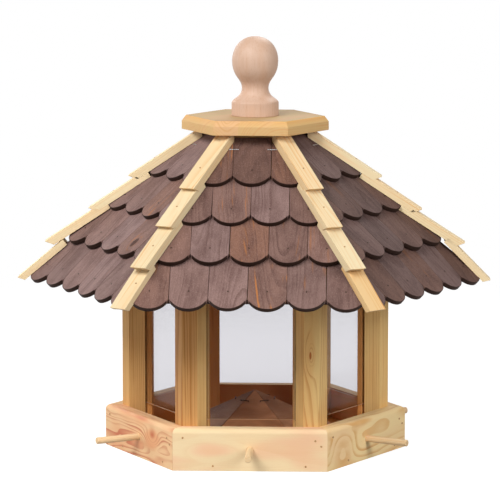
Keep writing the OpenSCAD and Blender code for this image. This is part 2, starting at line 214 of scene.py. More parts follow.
def woodRings(finish, look):
    # growth rings round a pith at y = z = 0 of the piece's own grain coordinates, which are in metres
    x, y, z = finish.split(finish.attribute("grain"))
    knotX, knotY, knotPull = finish.split(finish.attribute("knot"))
    line = {"noise_dimensions": "1D"}
    if "strip" in look:
        # boards glued side by side, each with its own place in the tree
        width = look["strip"]
        farX, farY, farZ = look["stripShifts"]
        strip = finish.calc("FLOOR", y / width + look["stripStart"])
        shuffle = finish.node("TexWhiteNoise", line, {"W": strip + look["seed"]}, "Color")
        shiftX, shiftY, shiftZ = finish.split(shuffle)
        y = (y - strip * width) * (look["leastStretch"] + shiftX) + (shiftY - 0.5) * farY
        z = z + (shiftZ - 0.5) * farZ
        x = x + shiftX * farX
    place = (x, y, z)
    wander = finish.grained(place, look["bends"], 2, growth["wanderRoughness"])
    ripple = finish.grained(place, growth["ripples"])
    lift = (wander - 0.5) * look["wander"] + (ripple - 0.5) * look["ripple"]
    knotR = finish.calc("SQRT", knotX * knotX * look["knotLength"] + knotY * knotY)
    pull = finish.calc("EXPONENT", 0 - knotR * knotR / (look["knotSize"] ** 2)) * knotPull
    radius = finish.calc("SQRT", y * y + z * z) + lift + pull * look["knotSize"]
    turns = radius / look["ring"]
    drift = {"W": turns * growth["unevenScale"], "Scale": 1, "Detail": 1}
    uneven = finish.node("TexNoise", line, drift, "Fac")
    turns = turns + (uneven - 0.5) * look["uneven"]
    part = finish.calc("FRACT", turns)
    year = finish.node("TexWhiteNoise", line, {"W": finish.calc("FLOOR", turns)}, "Value")
    late = finish.step(part, look["rise"], growth["lateFull"]) * finish.step(part, 1.0, look["fall"])
    late = late * (year * (1 - growth["leastYear"]) + growth["leastYear"])
    late = late * finish.step(finish.grained(place, growth["patches"]), *growth["patchShows"])
    return {"place": place, "late": late, "pull": pull, "knotR": knotR, "knotPull": knotPull}


pineLook = {
    "pale": colour(241, 217, 170), "rosy": colour(240, 206, 164), "blush": colour(238, 186, 146),
    "late": colour(222, 168, 108), "fleck": colour(196, 148, 102), "endGrain": colour(206, 168, 122),
    "knot": colour(120, 70, 44),
    # scales along the grain and across it
    "bends": (3.2, 16), "blotches": (8, 30), "fibres": (30, 1100), "flecks": (240, 2200),
    "wander": 0.014, "ripple": 0.0009, "ring": 0.0040, "uneven": 2.2, "rise": 0.45, "fall": 0.94,
    "knotSize": 0.011, "knotLength": 0.35, "knotFray": 1.6, "heart": 0.004, "heartEdge": 0.6,
    "heartPulls": (1.5, 1.6),
    "blushing": 0.35, "blotchShows": (0.44, 0.66), "knotShows": (0.15, 0.7),
    "fibreShows": (0.46, 0.8, 0.13), "fleckShows": (0.62, 0.8, 0.14), "endShare": 0.3,
    "roughness": 0.6, "lateSmooth": 0.14, "endRough": 0.12, "specular": 0.2,
    "bump": 0.3, "bumpDepth": 0.0003, "relief": {"fibres": 0.5, "late": 0.35, "flecks": 0.15},
}


def pineFinish(name, look):
    finish = Finish(bpy.data.materials.new(name))
    rings = woodRings(finish, look)
    late, knotR, knotPull = rings["late"], rings["knotR"], rings["knotPull"]
    bold, warm, tone = finish.split(finish.attribute("mood"))
    cut = finish.attribute("cut", "Fac")
    fibres = finish.grained(rings["place"], look["fibres"], 3)
    blotches = finish.grained(rings["place"], look["blotches"])
    flecks = finish.grained(rings["place"], look["flecks"], 1)
    wood = finish.mix(warm, look["pale"], look["rosy"])
    wood = finish.layer(wood, look["blush"], blotches, (*look["blotchShows"], look["blushing"]))
    nearKnot = rings["pull"] + (blotches - 0.5) * look["knotFray"]
    wood = finish.layer(wood, look["blush"], nearKnot, (*look["knotShows"], look["blushing"]))
    wood = finish.mix(finish.calc("MINIMUM", late * bold, 1), wood, look["late"])
    wood = finish.layer(wood, look["late"], fibres, look["fibreShows"])
    wood = finish.layer(wood, look["fleck"], flecks, look["fleckShows"])
    wood = finish.mix(cut * look["endShare"], wood, look["endGrain"])
    heart = finish.step(knotR, look["heart"], look["heart"] * look["heartEdge"])
    wood = finish.mix(heart * finish.step(knotPull, *look["heartPulls"]), wood, look["knot"])
    roughness = look["roughness"] - late * bold * look["lateSmooth"] + cut * look["endRough"]
    relief = look["relief"]
    height = fibres * relief["fibres"] + late * relief["late"] + flecks * relief["flecks"]
    return finish.wooden(look, finish.toned(wood, tone), roughness, height)


stainLook = {
    "violet": colour(134, 110, 106), "russet": colour(129, 93, 77), "deep": colour(80, 56, 51),
    # the dust colour on the raised fibres is partly dust and partly a painted grey sheen
    "dust": colour(162, 134, 126), "missed": colour(190, 122, 66), "knot": colour(74, 48, 40),
    "burnt": colour(47, 31, 25),
    # scales along the grain and across it
    "bends": (9, 24), "fibres": (60, 1500), "fuzz": (480, 1100), "clouds": (26, 50), "soot": (420, 420),
    "streaks": (11, 95),
    "wander": 0.014, "ripple": 0.0008, "ring": 0.0032, "uneven": 2.0, "rise": 0.35, "fall": 0.94,
    "knotSize": 0.010, "knotLength": 0.35, "heart": (0.0052, 0.0036), "halo": (0.013, 0.004),
    "knotPulls": (0.3, 0.9), "haloShare": 0.5,
    "cloudShows": (0.38, 0.72, 0.5), "lateShare": 0.6, "fibreShows": (0.46, 0.74, 0.3),
    "fuzzRoughness": 0.75, "dustAndSheenShows": (0.5, 0.76, 0.5), "poreShows": (0.48, 0.26, 0.45),
    "streakPull": 0.09, "streakShows": (0.6, 0.7), "streakRings": (0.08, 0.4), "missedShare": 0.75,
    "sootSpread": 0.4, "burntShows": (0.3, 0.85, 1),
    "roughness": 0.66, "specular": 0.1,
    "bump": 0.8, "bumpDepth": 0.0004, "relief": {"fibres": 0.4, "fuzz": 0.4, "late": 0.3},
}


def stainedFinish(name, look):
    finish = Finish(bpy.data.materials.new(name))
    rings = woodRings(finish, look)
    late, knotR = rings["late"], rings["knotR"]
    streaky, red, tone = finish.split(finish.attribute("mood"))
    burn = finish.attribute("burn", "Fac")
    fibres = finish.grained(rings["place"], look["fibres"], 3)
    fuzz = finish.grained(rings["place"], look["fuzz"], 2, look["fuzzRoughness"])
    clouds = finish.grained(rings["place"], look["clouds"], 3)
    soot = finish.grained(rings["place"], look["soot"])
    wood = finish.mix(red, look["violet"], look["russet"])
    wood = finish.layer(wood, look["deep"], clouds, look["cloudShows"])
    wood = finish.mix(late * look["lateShare"], wood, look["deep"])
    wood = finish.layer(wood, look["deep"], fibres, look["fibreShows"])
    # dust and painted sheen on the raised fibres
    wood = finish.layer(wood, look["dust"], fuzz, look["dustAndSheenShows"])
    wood = finish.layer(wood, look["deep"], fuzz, look["poreShows"])
    # long streaks where the stain did not take, along the rings
    streaks = finish.grained(rings["place"], look["streaks"]) + streaky * look["streakPull"]
    missed = finish.step(streaks, *look["streakShows"]) * finish.step(late, *look["streakRings"])
    missed = missed * finish.calc("MINIMUM", streaky, 1)
    knotty = finish.step(rings["knotPull"], *look["knotPulls"])
    halo = finish.step(knotR, *look["halo"]) * knotty
    missed = finish.calc("MINIMUM", missed + halo * look["haloShare"] * late, 1)
    wood = finish.mix(missed * look["missedShare"], wood, look["missed"])
    wood = finish.mix(finish.step(knotR, *look["heart"]) * knotty, wood, look["knot"])
    wood = finish.toned(wood, tone)
    charred = burn + (soot - 0.5) * look["sootSpread"]
    wood = finish.layer(wood, look["burnt"], charred, look["burntShows"])
    relief = look["relief"]
    height = fibres * relief["fibres"] + fuzz * relief["fuzz"] + late * relief["late"]
    return finish.wooden(look, wood, look["roughness"], height)


boardLook = {
    "brown": colour(200, 144, 104), "deep": colour(158, 106, 74), "dust": colour(192, 148, 118),
    "fibres": (60, 900), "clouds": (20, 40), "specks": (900, 900),
    "cloudShows": (0.3, 0.7, 1), "fibreShows": (0.45, 0.75, 0.4), "speckShows": (0.66, 0.74, 0.35),
    "roughness": 0.58, "specular": 0.3, "bump": 0.2, "bumpDepth": 0.0002,
}


def boardFinish(name, look):
    finish = Finish(bpy.data.materials.new(name))
    place = finish.split(finish.attribute("grain"))
    tone = finish.split(finish.attribute("mood"))[2]
    fibres = finish.grained(place, look["fibres"], 3)
    clouds = finish.grained(place, look["clouds"])
    specks = finish.grained(place, look["specks"], 1)
    wood = finish.layer(look["brown"], look["deep"], clouds, look["cloudShows"])
    wood = finish.layer(wood, look["deep"], fibres, look["fibreShows"])
    wood = finish.layer(wood, look["dust"], specks, look["speckShows"])
    return finish.wooden(look, finish.toned(wood, tone), look["roughness"], fibres)


beechLook = {
    "pale": colour(202, 170, 148), "rosy": colour(200, 160, 132), "late": colour(186, 142, 114),
    "fleck": colour(164, 116, 90),
    "flecks": (150, 1700), "fibres": (14, 420), "clouds": (12, 60),
    "cloudShows": (0.35, 0.7, 0.6), "fibreShows": (0.42, 0.75, 0.3), "fleckShows": (0.62, 0.75, 0.35),
    "roughness": 0.5, "specular": 0.35, "bump": 0.15, "bumpDepth": 0.0002,
    "relief": {"fibres": 0.5, "flecks": 0.5},
}


def beechFinish(name, look):
    finish = Finish(bpy.data.materials.new(name))
    place = finish.split(finish.attribute("grain"))
    flecks = finish.grained(place, look["flecks"], 1)
    fibres = finish.grained(place, look["fibres"], 3)
    clouds = finish.grained(place, look["clouds"])
    wood = finish.layer(look["pale"], look["rosy"], clouds, look["cloudShows"])
    wood = finish.layer(wood, look["late"], fibres, look["fibreShows"])
    wood = finish.layer(wood, look["fleck"], flecks, look["fleckShows"])
    height = fibres * look["relief"]["fibres"] + flecks * look["relief"]["flecks"]
    return finish.wooden(look, wood, look["roughness"], height)


steelLook = {
    "spotScale": 900, "dullShows": (0.45, 0.7, 1), "roughFrom": (0.4, 0.7), "smooth": 0.34, "roughBy": 0.25,
}


def steelFinish(name, bright, dull):
    finish = Finish(bpy.data.materials.new(name))
    spots = finish.noise(finish.node("TexCoord", out="Object"), steelLook["spotScale"])
    tint = finish.layer(bright, dull, spots, steelLook["dullShows"])
    roughness = steelLook["smooth"] + finish.step(spots, *steelLook["roughFrom"]) * steelLook["roughBy"]
    values = {"Base Color": tint, "Metallic": 1, "Roughness": roughness}
    return finish.surface(finish.node("BsdfPrincipled", {}, values))


sheetLook = {
    "tint": (0.887, 0.884, 0.895), "gloss": (0.9, 0.9, 0.92), "shine": 0.5, "leastShine": 0.002,
    "falloff": 5, "glossRoughness": 0.04,
    # the sawn edge's colour is a painted highlight
    "edge": colour(242, 196, 146), "edgeMatt": 0.7, "edgeRoughness": 0.35,
}


def paneFinish(name, look):
    # a thin clear sheet: it lets light straight through with a tint and shines at a low angle
    finish = Finish(bpy.data.materials.new(name))
    grazing = finish.node("LayerWeight", {}, {"Blend": 0.5}, "Facing")
    shine = finish.calc("POWER", grazing, look["falloff"]) * look["shine"] + look["leastShine"]
    through = finish.node("BsdfTransparent", {}, {"Color": (*look["tint"], 1)})
    mirror = {"Base Color": (*look["gloss"], 1), "Roughness": look["glossRoughness"], "Metallic": 1}
    gloss = finish.node("BsdfPrincipled", {}, mirror)
    return finish.surface(finish.node("MixShader", {}, {0: shine, 1: through, 2: gloss}))


def sawnFinish(name, look):
    # a sawn edge of the clear sheet, given a pale warm colour that is mostly matt: a painted highlight for
    # the light the edge bends
    finish = Finish(bpy.data.materials.new(name))
    edge = (*look["edge"], 1)
    matt = finish.node("BsdfPrincipled", {}, {"Base Color": edge, "Roughness": look["edgeRoughness"]})
    through = finish.node("BsdfTransparent", {}, {"Color": edge})
    return finish.surface(finish.node("MixShader", {}, {0: look["edgeMatt"], 1: through, 2: matt}))


pines = {
    "pine": {},
    "palePine": {"pale": colour(242, 220, 176), "blush": colour(240, 192, 154), "blotches": (9, 26),
                 "blushing": 0.8, "ring": 0.007, "wander": 0.02, "knotLength": 0.1},
    "flamedPine": {"pale": colour(230, 184, 132), "late": colour(196, 112, 74),
                   "blush": colour(226, 154, 108), "bends": (7, 32), "wander": 0.022, "rise": 0.35,
                   "ring": 0.0036, "blushing": 0.6},
    "loopedPine": {"pale": colour(242, 214, 160), "late": colour(214, 156, 84), "bends": (8, 20),
                   "wander": 0.02, "rise": 0.35, "ring": 0.0050, "knotSize": 0.019, "knotLength": 0.5,
                   "blushing": 0.2},
    # postPine is darker and warmer than plain pine, partly the posts' own wood and partly painted shade and
    # bounce light under the roof; its rosy colour, full on the posts' inner sides, is painted bounce light
    # there
    "postPine": {"pale": colour(224, 189, 126), "rosy": colour(222, 150, 82), "blush": colour(216, 162, 96),
                 "late": colour(180, 110, 48), "fleck": colour(168, 112, 62), "knot": colour(168, 92, 40),
                 "ring": 0.0026, "wander": 0.007, "knotSize": 0.005, "knotLength": 0.06, "heart": 0.0014},
    # rimPine's rosy colour is mostly painted bounce light, on the inner faces at the back
    "rimPine": {"pale": colour(238, 208, 156), "rosy": colour(206, 128, 68), "late": colour(204, 146, 84)},
    "railPine": {"pale": colour(230, 213, 174), "rosy": colour(232, 196, 142), "blush": colour(232, 194, 146),
                 "late": colour(222, 164, 98), "ring": 0.0034},
    "gluedPine": {"pale": colour(220, 188, 134), "rosy": colour(236, 176, 96), "bump": 0.25, "strip": 0.07,
                  "stripStart": 0.37, "stripShifts": (3, 0.06, 0.05), "leastStretch": 0.5, "seed": 3},
}
finishes = {name: pineFinish(name, {**pineLook, **look}) for name, look in pines.items()}
finishes.update({
    "stained": stainedFinish("stainedShingle", stainLook),
    "board": boardFinish("brownBoard", boardLook),
    "beech": beechFinish("beech", beechLook),
    "steel": steelFinish("wireSteel", colour(176, 174, 176), colour(112, 104, 98)),
    "nail": steelFinish("nailHead", colour(184, 142, 98), colour(128, 94, 62)),
    "pin": steelFinish("pinHead", colour(84, 66, 56), colour(54, 42, 36)),
    "pane": paneFinish("clearSheet", sheetLook),
    "sawn": sawnFinish("sawnEdgeHighlight", sheetLook),
})
print("finishes made:", len(finishes))


merging = {"apart": 0.002 * mm, "bend": math.radians(0.6)}


def mergedCopy(node):
    # a CAD node's mesh as closed solids with flat faces in one piece
    bm = bmesh.new()
    bm.from_mesh(nodes[node].data)
    bmesh.ops.remove_doubles(bm, verts=bm.verts, dist=merging["apart"])
    bmesh.ops.dissolve_limit(bm, angle_limit=merging["bend"], verts=bm.verts, edges=bm.edges)
    return bm


def looseSolids(bm):
    # the vertices of each separate solid
    solids = []
    seen = set()
    for first in bm.verts:
        if first in seen:
            continue
        seen.add(first)
        solid = [first]
        for vert in solid:
            for edge in vert.link_edges:
                other = edge.other_vert(vert)
                if other not in seen:
                    seen.add(other)
                    solid.append(other)
        solids.append(solid)
    return solids


def middle(verts):
    places = [vert.co for vert in verts]
    low = Vector(min(place[axis] for place in places) for axis in range(3))
    high = Vector(max(place[axis] for place in places) for axis in range(3))
    return (low + high) / 2


def easeEdges(bm, width, segments=2, sharp=24):
    # sands every sharp edge, one solid at a time so that a short edge holds back only its own piece
    for solid in looseSolids(bm):
        inside = set(solid)
        edges = [edge for edge in bm.edges if edge.verts[0] in inside and len(edge.link_faces) == 2
                 and edge.calc_face_angle() > math.radians(sharp)]
        bmesh.ops.bevel(bm, geom=edges, affect="EDGES", offset=width, segments=segments, profile=0.5,
                        material=-1, clamp_overlap=True)


def addLayers(bm):
    # what the wooden finishes read at each vertex, and how far a face is cut across the grain
    for name in ("grain", "knot", "mood"):
        bm.verts.layers.float_vector.new(name)
    bm.verts.layers.float.new("burn")
    bm.loops.layers.float.new("cut")


def sandedCopy(node, edge, segments=2, sharp=24):
    bm = mergedCopy(node)
    easeEdges(bm, edge, segments, sharp)
    addLayers(bm)
    return bm


def drawLook(dice, ranges):
    # draws the values of a look in the order in which their ranges stand; a plain number stays as it is
    drawn = {name: dice.uniform(*span) if isinstance(span, tuple) else span for name, span in ranges.items()}
    for name, parts in (("mood", ("bold", "warm", "tone")), ("pith", ("pithY", "pithZ"))):
        drawn[name] = tuple(drawn.pop(part) for part in parts)
    return drawn


def layTimber(bm, solid, axes, look):
    # writes the grain coordinates of one solid: along, across and through the board, from its own pith
    grain = bm.verts.layers.float_vector["grain"]
    knot = bm.verts.layers.float_vector["knot"]
    mood = bm.verts.layers.float_vector["mood"]
    cut = bm.loops.layers.float["cut"]
    along, across, through = axes
    centre = middle(solid)
    pithY, pithZ = look["pith"]
    spread = look.get("spread", 1)
    tilt = look.get("tilt", 0)
    knotX, knotY, knotPull = look.get("knot", (9, 9, 0))  # far off where there is none
    for vert in solid:
        place = vert.co - centre
        x, y, z = place.dot(along), place.dot(across), place.dot(through)
        vert[grain] = Vector((x + look["offset"], (y - pithY) * spread, (z - pithZ + tilt * x) * spread))
        vert[knot] = Vector((x - knotX, y - knotY, knotPull))
        vert[mood] = Vector(look["mood"])
        for loop in vert.link_loops:
            loop[cut] = abs(loop.face.normal.dot(along))


def retone(bm, verts, warm, boldBy=1, toneBy=1):
    # gives some vertices another warmth, and bolder or fainter grain and a lighter or darker tone
    mood = bm.verts.layers.float_vector["mood"]
    for vert in verts:
        bold, _, tone = vert[mood]
        vert[mood] = Vector((bold * boldBy, warm, tone * toneBy))


def facing(bm, direction, least=0.7):
    # the vertices of the faces that look a certain way
    return {vert for face in bm.faces if face.normal.dot(direction) > least for vert in face.verts}


def finished(bm, name, node, materials, smoothAngle=50):
    # turns the mesh into the piece that is shown in a node's place
    mesh = bpy.data.meshes.new(name)
    bm.normal_update()
    bm.to_mesh(mesh)
    bm.free()
    for material in materials:
        mesh.materials.append(finishes[material])
    mesh.shade_smooth()
    mesh.set_sharp_from_angle(angle=math.radians(smoothAngle))
    piece = bpy.data.objects.new(name, mesh)
    bpy.context.scene.collection.objects.link(piece)
    flatten = piece.modifiers.new("flatten", "WEIGHTED_NORMAL")
    flatten.weight = 100
    flatten.keep_sharp = True
    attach(piece, bodyOf(node))
    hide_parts(node)
    slotOf(node)
    return piece


def camel(node):
    first, *rest = node.split("_")
    return first + "".join(word.capitalize() for word in rest)


trayBoards = {
    "edge": 0.45 * mm, "seed": 11,
    "ranges": {"bold": (0.4, 0.9), "warm": (0, 0.15), "tone": (0.94, 1.02), "pithY": (-0.012, 0.012),
               "pithZ": (-0.06, -0.03), "tilt": (-0.12, 0.12), "offset": (0, 9)},
    "front": {"mood": (0.18, 0.3, 1.0), "pith": (0.004, -0.055), "offset": 0.31,
              "finish": "palePine", "knot": (-0.045, 0.0, 0.9)},
    "left_front": {"mood": (1.35, 0.5, 1.0), "pith": (-0.012, -0.030), "tilt": 0.06, "offset": 1.72,
                   "finish": "flamedPine", "knot": (0.034, 0.004, 1.2)},
    "right_front": {"mood": (0.9, 0.0, 1.06), "pith": (0.006, -0.026), "tilt": 0.05, "offset": 2.4,
                    "finish": "loopedPine", "knot": (-0.054, -0.004, 0.85)},
    "floor": {"mood": (0.6, 0.4, 0.95), "pith": (0.0, -0.05), "offset": 4.2},
}


def makeTray():
    dice = random.Random(trayBoards["seed"])
    for side in sides:
        node = "rim_board_" + side
        bm = sandedCopy(node, trayBoards["edge"])
        plain = drawLook(dice, trayBoards["ranges"])
        look = trayBoards.get(side, {**plain, "finish": "rimPine"})
        out = outOf(side)
        layTimber(bm, looseSolids(bm)[0], (up.cross(out), up, out), look)
        if side not in trayBoards:
            # the inner faces at the back lie in the light thrown back by the wood round them
            retone(bm, facing(bm, -out), 1)
        finished(bm, camel(node), node, [look["finish"]])
    bm = sandedCopy("floor_board", trayBoards["edge"])
    layTimber(bm, looseSolids(bm)[0], (right, up.cross(right), up), trayBoards["floor"])
    finished(bm, "floorBoard", "floor_board", ["postPine"])


perches = {
    "edge": 0.3 * mm, "seed": 21, "smoothAngle": 40,
    "ranges": {"bold": (0.5, 0.8), "warm": 0.5, "tone": (0.96, 1.02), "pithY": (-0.02, 0.02),
               "pithZ": (0.012, 0.03), "offset": (0, 9), "spread": 1.8},
}


def makePerches():
    dice = random.Random(perches["seed"])
    for side in sides:
        node = "perch_" + side
        bm = sandedCopy(node, perches["edge"])
        out = outOf(side)
        layTimber(bm, looseSolids(bm)[0], (out, out.cross(up), up), drawLook(dice, perches["ranges"]))
        finished(bm, camel(node), node, ["pine"], perches["smoothAngle"])


posts = {
    "edge": 0.6 * mm, "seed": 33,
    "ranges": {"bold": (0.65, 0.95), "warm": (0.1, 0.6), "tone": (0.95, 1.02), "pithY": (-0.02, 0.02),
               "pithZ": (-0.03, -0.07), "offset": (0, 9), "tilt": (-0.02, 0.02), "spread": 1.1},
    # painted bounce light: what lies this much nearer to the axis than a post's middle is reddened, for the
    # light thrown back by the wood round it
    "warmDepth": 12 * mm,
    # painted light: the sides towards the front opening are made lighter and not warm
    "paintedLightSide": {"front_left": -1, "front_right": 1}, "paintedLightTone": 1.26, "paintedLightFacing": 0.9,
    "front_left": {"mood": (1.3, 0.6, 0.84)},
    "front_right": {"mood": (0.8, 0.0, 0.95), "knot": (-0.028, 0.009, 1.6)},
    "left": {"mood": (0.9, 0.35, 0.96)},
    "right": {"mood": (0.8, 0.0, 1.1)},
}


def makePosts():
    dice = random.Random(posts["seed"])
    for corner in corners:
        node = "post_" + corner
        bm = sandedCopy(node, posts["edge"])
        look = {**drawLook(dice, posts["ranges"]), **posts.get(corner, {})}
        out = toCorner(corner)
        across = out.cross(up)
        layTimber(bm, looseSolids(bm)[0], (up, across, out), look)
        centre = middle(bm.verts)
        # painted bounce light: the inner part of each post is made warm
        inner = {vert for vert in bm.verts if (centre - vert.co).dot(out) > posts["warmDepth"]}
        retone(bm, inner, 1)
        # painted light: the sides towards the front opening are made lighter
        lit = facing(bm, across * posts["paintedLightSide"].get(corner, 0), posts["paintedLightFacing"])
        retone(bm, lit - inner, 0, 1, posts["paintedLightTone"])
        finished(bm, camel(node), node, ["postPine"])


panes = {"edge": 0.15 * mm, "sawnFacing": -0.3}  # the sawn edge that shows is the one that faces down


def makePanes():
    for side in sides:
        node = "pane_" + side
        bm = mergedCopy(node)
        easeEdges(bm, panes["edge"], 1)
        for face in bm.faces:
            face.material_index = 1 if face.normal.z < panes["sawnFacing"] else 0
        finished(bm, camel(node), node, ["pane", "sawn"])


spreader = {
    "edge": 0.3 * mm, "offset": 0.7,
    # painted light: how light each side is made, by side, from the front one anticlockwise
    "tones": (1.32, 0.94, 1.02, 0.98, 0.95, 0.76),
}


def makeSpreader():
    bm = sandedCopy("seed_spreader", spreader["edge"], 1)
    for solid in looseSolids(bm):
        centre = middle(solid)
        side = max(sides, key=lambda name: centre.dot(outOf(name)))
        out = outOf(side)
        number = sides.index(side)
        tone = spreader["tones"][number]
        look = {"mood": (0, 0, tone), "pith": (0, 0), "offset": number * spreader["offset"]}
        layTimber(bm, solid, (out.cross(up), out, up), look)
    finished(bm, "seedSpreader", "seed_spreader", ["board"])


roof = {
    "edge": 0.5 * mm, "seed": 45, "topFacing": 0.3,
    # the eave is brought down and burnt dark: a painted shade between the last shingles' tails
    "eaveReach": 6.5 * mm, "eaveBand": 6 * mm, "eaveFacing": 0.4,
    "ranges": {"bold": (0.5, 0.8), "warm": (0, 1), "tone": (0.9, 0.98), "pithY": (-0.02, 0.02),
               "pithZ": -0.04, "offset": (0, 9)},
}


def slopeOf(side):
    # down the slope of a side of the roof, and straight out of it
    out = outOf(side)
    panel = nodes["roof_panel_" + side].data
    tops = (face for face in panel.polygons if face.normal.z > roof["topFacing"])
    normal = max(tops, key=lambda face: face.area).normal.copy()
    down = (out - normal * out.dot(normal)).normalized()
    return down, normal


def reachEave(bm, down, across):
    # brings the lower edge of a roof board down to where the last shingles part, and gives its end faces the
    # burnt colour, which paints shade into the gaps between the shingle tails
    burn = bm.verts.layers.float["burn"]
    tail = max(vert.co.dot(down) for vert in bm.verts)
    eave = [vert for vert in bm.verts if tail - vert.co.dot(down) < roof["eaveBand"]]
    half = max(vert.co.dot(across) for vert in eave)
    widening = math.hypot(down.x, down.y) * math.tan(math.radians(sideAngle / 2))
    for vert in eave:
        spread = vert.co.dot(across) / half * widening
        vert.co += (down + across * spread) * roof["eaveReach"]
    for face in bm.faces:
        if face.normal.dot(down) > roof["eaveFacing"]:
            face.material_index = 1
            for vert in face.verts:
                vert[burn] = 1


def makeRoofBoards():
    dice = random.Random(roof["seed"])
    for side in sides:
        node = "roof_panel_" + side
        down, normal = slopeOf(side)
        across = down.cross(normal)
        bm = sandedCopy(node, roof["edge"], 1)
        reachEave(bm, down, across)
        layTimber(bm, looseSolids(bm)[0], (across, down, normal), drawLook(dice, roof["ranges"]))
        finished(bm, camel(node), node, ["gluedPine", "stained"])


shingles = {
    "edge": 0.35 * mm, "seed": 57, "courses": 4, "courseGap": 15 * mm,
    # the rounded end and the rim round each face are burnt dark
    "rim": 1.0 * mm, "tail": 12 * mm, "topFacing": 0.95, "topLeast": 50 * mm * mm,
    # how far each may be turned, in degrees, pushed aside and pushed up; the last course lies lower
    "turn": 0.5, "slip": 0.18 * mm, "slide": 0.9 * mm, "lastSlide": 2.2 * mm,
    "ranges": {"tone": (0.84, 1.12), "bold": (0, 1), "warm": (0, 1), "pithY": (-0.03, 0.03),
               "pithZ": (-0.012, -0.05), "tilt": (-0.12, 0.12), "offset": (0, 30)},
    # few are streaky: the share drawn is raised to a power
    "streakPower": 5, "mostStreaks": 0.6,
    # painted light: how light each side is made; and how red the stain is on each side, where the greyer left
    # front is partly a painted sheen of the lamps
    "tones": {"front": 1.0, "right_front": 0.66, "right_back": 0.95, "back": 1.0, "left_back": 0.95,
              "left_front": 1.04},
    "reds": {"left_front": 0.35, "right_front": 0.7},
    # side, course, place: a few pieces that stand out
    "standouts": {
        # the front's top course, under the cap, is darker and redder: partly the shingles' own stain and
        # partly painted shade from the cap
        ("front", 1, 1): {"mood": (0.7, 0.8, 0.8)}, ("front", 1, 2): {"mood": (0, 0.7, 0.72)},
        ("front", 1, 3): {"mood": (0.3, 1.0, 0.9)},
        ("front", 2, 1): {"mood": (0, 0.5, 0.92)}, ("front", 2, 2): {"mood": (0.7, 0.5, 0.98)},
        ("front", 2, 3): {"mood": (0, 0.1, 1.06)},
        ("front", 3, 2): {"mood": (0, 0.1, 1.05)}, ("front", 3, 3): {"mood": (0.5, 1.0, 1.08)},
        ("front", 3, 4): {"mood": (0.3, 0.5, 0.92)},
        ("front", 4, 2): {"mood": (0, 0.3, 1.06)}, ("front", 4, 3): {"mood": (0, 0.2, 1.14)},
        ("front", 4, 4): {"mood": (1.0, 0.6, 0.98)}, ("front", 4, 5): {"mood": (0.6, 0.3, 0.94)},
        ("left_front", 3, 4): {"mood": (0.6, 0.5, 1.0), "knot": (0.020, -0.004, 1.0)},
        ("left_front", 2, 3): {"mood": (0.5, 0.7, 1.08)},
    },
}


def courseAndPlace(solids, side):
    # numbers a side's shingles by course from the top and by place from the left
    out = outOf(side)
    toRight = up.cross(out)
    tail = {index: max(vert.co.dot(out) for vert in solid) for index, solid in enumerate(solids)}
    order = sorted(tail, key=lambda index: tail[index])
    courses = [[order[0]]]
    for index in order[1:]:
        if tail[index] - tail[courses[-1][-1]] > shingles["courseGap"]:
            courses.append([])
        courses[-1].append(index)
    places = {}
    for number, course in enumerate(courses):
        course.sort(key=lambda index: middle(solids[index]).dot(toRight))
        for place, index in enumerate(course):
            places[index] = (number + 1, place + 1)
    return places


def makeShingles():
    dice = random.Random(shingles["seed"])
    for side in sides:
        node = "shingles_" + side
        down, normal = slopeOf(side)
        bm = sandedCopy(node, shingles["edge"])
        burn = bm.verts.layers.float["burn"]
        tops = [face for face in bm.faces if face.normal.dot(normal) > shingles["topFacing"]
                and face.calc_area() > shingles["topLeast"]]
        bmesh.ops.inset_individual(bm, faces=tops, thickness=shingles["rim"], use_even_offset=True)
        inner = {vert for face in tops for vert in face.verts}
        solids = looseSolids(bm)
        places = courseAndPlace(solids, side)
        for index, solid in enumerate(solids):
            look = drawLook(dice, shingles["ranges"])
            streaky, red, tone = look["mood"]
            look["mood"] = (streaky ** shingles["streakPower"] * shingles["mostStreaks"],
                            red * shingles["reds"].get(side, 1), tone * shingles["tones"][side])
            look.update(shingles["standouts"].get((side, *places[index]), {}))
            top = max({face for vert in solid for face in vert.link_faces}, key=lambda face: face.calc_area())
            own = top.normal if top.normal.dot(normal) > 0 else -top.normal
            ownDown = (down - own * down.dot(own)).normalized()
            across = ownDown.cross(own)
            layTimber(bm, solid, (ownDown, across, own), look)
            tail = max(vert.co.dot(ownDown) for vert in solid)
            for vert in solid:
                near = tail - vert.co.dot(ownDown) < shingles["tail"]
                vert[burn] = 1 if near and vert not in inner else 0
            centre = middle(solid)
            turn = Matrix.Rotation(math.radians(dice.uniform(-1, 1) * shingles["turn"]), 4, own)
            shift = across * dice.uniform(-1, 1) * shingles["slip"]
            shift += ownDown * dice.uniform(-1, 0) * shingles["slide"]
            if places[index][0] == shingles["courses"]:
                shift += ownDown * shingles["lastSlide"]
            for vert in solid:
                vert.co = turn @ (vert.co - centre) + centre + shift
        finished(bm, camel(node), node, ["stained"])


